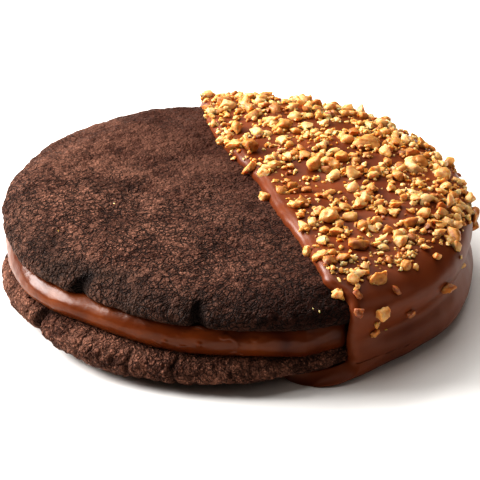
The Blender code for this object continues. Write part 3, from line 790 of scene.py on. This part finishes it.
# The chopped nuts: roasted nuts broken into chips of 1 to 4 mm and strewn over the wet chocolate,
# where they set. Some faces are smooth and golden, the broken ones rough and pale.
# The chips that stand out: pixel across and down, length in mm, and tone from pale to dark.
PLAIN_CHIPS = [
    (366, 144, 4.3, 0.62),
    (411, 168, 3.9, 0.15),
    (385, 153, 2.9, 0.45),
    (442, 178, 2.8, 0.35),
    (285, 128, 2.9, 0.6),
    (270, 122, 2.6, 0.4),
    (250, 110, 2.2, 0.7),
    (250, 150, 3.5, 0.8),
    (315, 166, 3.2, 0.5),
    (335, 168, 2.8, 0.55),
    (342, 161, 2.6, 0.5),
    (252, 168, 2.7, 0.45),
    (262, 172, 2.4, 0.35),
    (368, 196, 3.0, 0.7),
    (295, 207, 3.2, 0.4),
    (268, 197, 2.7, 0.4),
    (410, 226, 2.6, 0.65),
    (441, 210, 3.2, 0.9),
    (329, 221, 3.3, 0.3),
    (334, 233, 2.8, 0.45),
    (318, 211, 2.6, 0.3),
    (359, 208, 2.4, 0.35),
    (376, 222, 2.2, 0.5),
    (424, 216, 2.8, 0.4),
    (359, 247, 4.2, 0.75),
    (399, 243, 3.2, 0.35),
    (453, 236, 3.5, 0.65),
    (404, 266, 2.4, 0.6),
    (436, 257, 2.0, 0.55),
    (320, 258, 2.9, 0.5),
    (307, 252, 2.2, 0.35),
    (353, 281, 2.6, 0.4),
    (378, 280, 3.1, 0.6),
    (338, 296, 2.6, 0.45),
    (382, 314, 2.8, 0.45),
    (409, 312, 1.9, 0.95),
    (445, 287, 2.8, 0.75),
    (358, 296, 2.0, 0.95),
    (358, 312, 1.9, 1.0),
    (397, 292, 1.7, 0.9),
]
# Crumbs of nut that fell on the bare biscuit, in the same four numbers.
FALLEN_CRUMBS = [
    (114, 204, 0.6, 0.0),
    (313, 309, 0.45, 0.1),
    (320, 312, 0.6, 0.0),
    (351, 327, 0.4, 0.1),
    (58, 232, 0.35, 0.1),
]
CHIP_COUNT = 460
BIT_COUNT = 900
NUT_SEED = 11
CHIP_PLANES = 12
EDGE_POWER = 9  # how sharply two faces of a chip meet
SHARP_ANGLE = math.radians(55)  # edges that turn more than this are shaded as sharp
DEEPEST = 0.9 * MM  # how far a chip sinks into the chocolate at most


def ball(level):
    """Unit directions and faces of an icosphere."""
    work = bmesh.new()
    bmesh.ops.create_icosphere(work, subdivisions=level, radius=1)
    points = np.array([v.co[:] for v in work.verts])
    faces = np.array([[v.index for v in f.verts] for f in work.faces])
    work.free()
    return points, faces


def upright_frames(normal, spin, lean):
    """Turning matrices that stand each chip on its normal, spun round it and leaning."""
    helper = np.where(np.abs(normal[:, 2:3]) < 0.9, [[0.0, 0.0, 1.0]], [[1.0, 0.0, 0.0]])
    side = np.cross(helper, normal)
    side /= np.linalg.norm(side, axis=1, keepdims=True)
    other = np.cross(normal, side)
    first = side * np.cos(spin)[:, None] + other * np.sin(spin)[:, None]
    second = np.cross(normal, first)
    tipped = normal * np.cos(lean)[:, None] + second * np.sin(lean)[:, None]
    return np.stack([first, np.cross(tipped, first), tipped], axis=-1)


def chips(name, level, spots, normals, lengths, tones, seed):
    """Broken chips as one mesh. Each is a ball cut by twelve planes: its radius in a direction is
    (sum of (direction . plane normal / plane distance)^9)^(-1/9), which rounds the edges, made
    knobbly by noise and rough by jitter. It stands on its spot, sunk in by three tenths."""
    draw = np.random.default_rng(seed)
    directions, faces = ball(level)
    count = len(spots)
    width, thickness = draw.uniform(0.6, 0.95, count), draw.uniform(0.5, 0.85, count)
    half = lengths[:, None] / 2 * np.stack([np.ones(count), width, thickness], 1)
    planes = draw.normal(size=(count, CHIP_PLANES, 3))
    axes = np.array([[1, 0, 0], [-1, 0, 0], [0, 1, 0], [0, -1, 0], [0, 0, 1], [0, 0, -1]])
    planes[:, :6] = axes[None] + draw.normal(0, 0.3, (count, 6, 3))
    planes /= np.linalg.norm(planes, axis=2, keepdims=True)
    distance = draw.uniform(0.7, 1.0, (count, CHIP_PLANES))
    facing = np.clip(np.einsum("vd,npd->nvp", directions, planes) / distance[:, None], 0, None)
    radius = (facing**EDGE_POWER).sum(axis=2) ** (-1 / EDGE_POWER)
    offset = directions[None] + draw.uniform(0, 100, (count, 1, 3))
    wobble = noise(offset, 0.8, seed) + 0.7 * noise(offset, 0.38, seed + 1)
    rough = draw.uniform(0.1, 0.36, (count, 1))
    jitter = draw.normal(0, 0.08, (count, len(directions)))
    radius = radius * (1 + rough * (wobble + jitter))
    shape = directions[None] * radius[..., None] * half[:, None]
    turn = upright_frames(normals, draw.uniform(0, 2 * math.pi, count), draw.normal(0, 0.4, count))
    shape = np.einsum("nij,nvj->nvi", turn, shape)
    low = (shape * normals[:, None]).sum(axis=2).min(axis=1)
    sunk = np.minimum(-0.6 * low, DEEPEST)
    points = spots[:, None] + shape - normals[:, None] * (low + sunk)[:, None, None]
    index = (faces[None] + np.arange(count)[:, None, None] * len(directions)).reshape(-1, 3)
    made = make_mesh(name, points.reshape(-1, 3), index.tolist())
    made.data.set_sharp_from_angle(angle=SHARP_ANGLE)
    note(made, "tone", np.clip(tones[:, None] + 0.2 * wobble, 0, 1).ravel())
    return made


def knobs(spots, normals, lengths, tones, seed):
    """Two smaller lumps against each chip, at two fifths of its length from its middle."""
    draw = np.random.default_rng(seed)
    spots, normals = np.repeat(spots, 2, axis=0), np.repeat(normals, 2, axis=0)
    lengths, tones = np.repeat(lengths, 2), np.repeat(tones, 2)
    helper = np.cross(normals, draw.normal(size=normals.shape))
    helper /= np.linalg.norm(helper, axis=1, keepdims=True)
    lift = draw.uniform(-0.02, 0.16, len(lengths))[:, None]
    moved = spots + lengths[:, None] * (0.4 * helper + lift * normals)
    return moved, normals, lengths * draw.uniform(0.35, 0.62, len(lengths)), tones


outer = coat_points.reshape(-1, 3)
outer_normals = vertex_rows(coat, "normal")[1 : 1 + len(outer)]


def seen_at(pixels, points, normals):
    """The points, and their normals, that the camera sees nearest to each pixel."""
    ray = points - eye
    seen_x = IMAGE / 2 + ray @ view_right / (ray @ view_ahead) * DISTANCE / PIXEL
    seen_y = IMAGE / 2 - ray @ view_up / (ray @ view_ahead) * DISTANCE / PIXEL
    turned_away = (normals * ray).sum(axis=1) >= 0
    gap = np.hypot(seen_x[None] - pixels[:, :1], seen_y[None] - pixels[:, 1:2]) + 1e3 * turned_away
    nearest = gap.argmin(axis=1)
    return points[nearest], normals[nearest]


plain = np.array(PLAIN_CHIPS)
plain_spots, plain_normals = seen_at(plain, outer, outer_normals)
fallen = np.array(FALLEN_CRUMBS)
fallen_places = vertex_rows(upper, "co"), vertex_rows(upper, "normal")
fallen_spots, fallen_normals = seen_at(fallen, *fallen_places)


def nut_density(points, angle, latitude):
    """How thickly the nuts lie: all over the top, rare on the rim and over the front right
    shoulder, and none at the lip or near the table."""
    rim = 1 - smoothstep(latitude, math.radians(16), math.radians(33))
    shoulder = 1 - smoothstep(latitude, math.radians(27), math.radians(43))
    right = smoothstep(-np.sin(angle), -0.1, 0.15)
    front = smoothstep(-np.sin(angle), 0.2, 0.5)
    thin = np.maximum((0.84 + 0.15 * right) * rim, 0.97 * shoulder * front)
    low = smoothstep(points[..., 2], 5 * MM, 8 * MM)
    heaps = 0.3 + 0.7 * smoothstep(noise(points, 5 * MM, 80), -0.35, 0.2)
    over = 1.3 * MM * smoothstep(points[..., 1], 2 * MM, 14 * MM)
    return heaps * (1 - thin) * low * smoothstep(past_dip_line(points) + over, 0.6 * MM, 1.5 * MM)


def strewn(lengths, taken_spots, taken_lengths, spacing, seed):
    """Seeded spots on the chocolate, one for each length in turn. Two spots are never nearer
    than the mean of their lengths times spacing, also to those that are taken."""
    draw = np.random.default_rng(seed)
    tries = 60 * len(lengths)
    polar = np.arccos(draw.uniform(math.cos(math.radians(100)), 1.0, tries))
    angle, latitude = on_cap(polar, draw.uniform(0, 2 * math.pi, tries))
    skin = envelope(angle, latitude)
    keep = draw.uniform(0, 1, tries) < nut_density(skin, angle, latitude)
    normal = outward(angle, latitude)[keep]
    centre = skin[keep] + normal * coat_depth(skin[keep])[:, None]
    spots, sizes, chosen = taken_spots, taken_lengths, []
    n = 0
    for length in lengths:
        while n < len(centre):
            clear = spacing * (sizes + length) / 2
            if (np.linalg.norm(spots - centre[n], axis=1) >= clear).all():
                break
            n += 1
        if n == len(centre):
            break
        spots = np.vstack([spots, centre[n]])
        sizes = np.append(sizes, length)
        chosen.append(n)
        n += 1
    return centre[chosen], normal[chosen], sizes[len(taken_lengths) :]


plain_lengths = plain[:, 2] * MM
chip_lengths = (1.15 + 1.75 * np.linspace(1, 0, CHIP_COUNT) ** 1.5) * MM
chip_spots, chip_normals, chip_lengths = strewn(
    chip_lengths, plain_spots, plain_lengths, 0.6, NUT_SEED + 1
)
bit_lengths = (0.45 + 0.85 * np.linspace(1, 0, BIT_COUNT) ** 1.3) * MM
laid_spots = np.vstack([plain_spots, chip_spots])
laid_lengths = np.append(plain_lengths, chip_lengths)
bit_spots, bit_normals, bit_lengths = strewn(
    bit_lengths, laid_spots, laid_lengths, 0.42, NUT_SEED + 2
)

# Roasted nut: a pale, oily, slightly see-through flesh with golden to brown faces. Broken, it is
# matt and pitted.
roast, tree, shader = new_material("roasted_nut")
place = add(tree, "ShaderNodeTexCoord").outputs["Object"]
tone = add(tree, "ShaderNodeAttribute", attribute_name="tone").outputs["Fac"]
mottle = add(tree, "ShaderNodeTexNoise", {"Vector": place, "Scale": 1 / (1.1 * MM), "Detail": 3.0})
spread = add(tree, "ShaderNodeMapRange", {0: mottle, 1: 0.25, 2: 0.75, 3: -0.18, 4: 0.18})
darker = add(tree, "ShaderNodeMath", {0: tone, 1: spread}, operation="ADD")
golden = add(tree, "ShaderNodeMapRange", {0: darker, 1: 0.15, 2: 0.6})
brown = add(tree, "ShaderNodeMapRange", {0: darker, 1: 0.6, 2: 1.0})
links = {0: golden, 6: linear("#dfba84"), 7: linear("#c9904c")}
flesh = add(tree, "ShaderNodeMix", links, data_type="RGBA").outputs[2]
links = {0: brown, 6: flesh, 7: linear("#8c5434")}
flesh = add(tree, "ShaderNodeMix", links, data_type="RGBA").outputs[2]
pitting = add(tree, "ShaderNodeTexNoise", {"Vector": place, "Scale": 1 / (0.5 * MM), "Detail": 4.0})
broken = add(tree, "ShaderNodeBump", {"Height": pitting, "Strength": 0.5, "Distance": 0.25 * MM})
finish = {
    "Base Color": flesh,
    "Normal": broken,
    "Roughness": 0.42,
    "IOR": 1.47,
    "Subsurface Weight": 0.85,
    "Subsurface Radius": (1.0, 0.6, 0.3),
    "Subsurface Scale": 1.2 * MM,
}
connect(tree, shader, finish)

draw = np.random.default_rng(NUT_SEED)
chip_tones = draw.beta(2.2, 2.6, len(chip_spots))
bit_tones = draw.beta(2.0, 1.7, len(bit_spots))
knob_parts = knobs(chip_spots, chip_normals, chip_lengths, chip_tones, NUT_SEED + 3)
fallen_lengths = fallen[:, 2] * MM
nut_sets = [
    ("nut_chips_large", 3, plain_spots, plain_normals, plain_lengths, plain[:, 3]),
    ("nut_chips", 2, chip_spots, chip_normals, chip_lengths, chip_tones),
    ("nut_chip_knobs", 1, *knob_parts),
    ("nut_bits", 1, bit_spots, bit_normals, bit_lengths, bit_tones),
    ("fallen_nut_crumbs", 1, fallen_spots, fallen_normals, fallen_lengths, fallen[:, 3]),
]
for name, level, spots, normals, lengths, tones in nut_sets:
    nuts = chips(name, level, spots, normals, lengths, tones, NUT_SEED + level)
    nuts.data.materials.append(roast)
    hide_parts("chocolate_coat")
    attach(nuts, "root")

# The floor, the soft lights and the pale surroundings. The main light comes low from the left,
# with a weaker one from behind, a wide one from above, and a trace from the right.
FLOOR_HALF = 3.0
corners = np.array([[-1, -1, 0], [1, -1, 0], [1, 1, 0], [-1, 1, 0]]) * FLOOR_HALF
floor = make_mesh("floor", corners, [[0, 1, 2, 3]])
paper, tree, shader = new_material("white_paper")
connect(tree, shader, {"Base Color": linear("#f4f2ef"), "Roughness": 0.9})
floor.data.materials.append(paper)


def soft_light(name, place, wide, high, power):
    """A soft box, wide and high in metres, that faces the cookie."""
    data = bpy.data.lights.new(name, "AREA")
    data.shape = "RECTANGLE"
    data.size = wide
    data.size_y = high
    data.energy = power
    made = bpy.data.objects.new(name, data)
    bpy.context.scene.collection.objects.link(made)
    made.location = place
    facing = Vector((0, 0, 0.01)) - Vector(place)
    made.rotation_euler = facing.to_track_quat("-Z", "Y").to_euler()


soft_light("key_light", (-0.48, 0.11, 0.28), 0.36, 0.26, 5.4)
soft_light("back_light", (-0.24, 0.45, 0.6), 0.4, 0.3, 2.0)
soft_light("top_light", (-0.1, 0.2, 0.75), 0.9, 0.9, 4.0)
soft_light("side_light", (0.6, -0.25, 0.4), 0.3, 0.3, 0.3)
surroundings = bpy.data.worlds.new("surroundings")
bpy.context.scene.world = surroundings
surroundings.use_nodes = True
sky = surroundings.node_tree.nodes["Background"]
connect(surroundings.node_tree, sky, {"Color": (1.0, 0.9, 0.8, 1.0), "Strength": 0.1})
# A higher contrast gives the photograph's dark, saturated shades.
bpy.context.scene.view_settings.view_transform = "Standard"
bpy.context.scene.view_settings.look = "High Contrast"
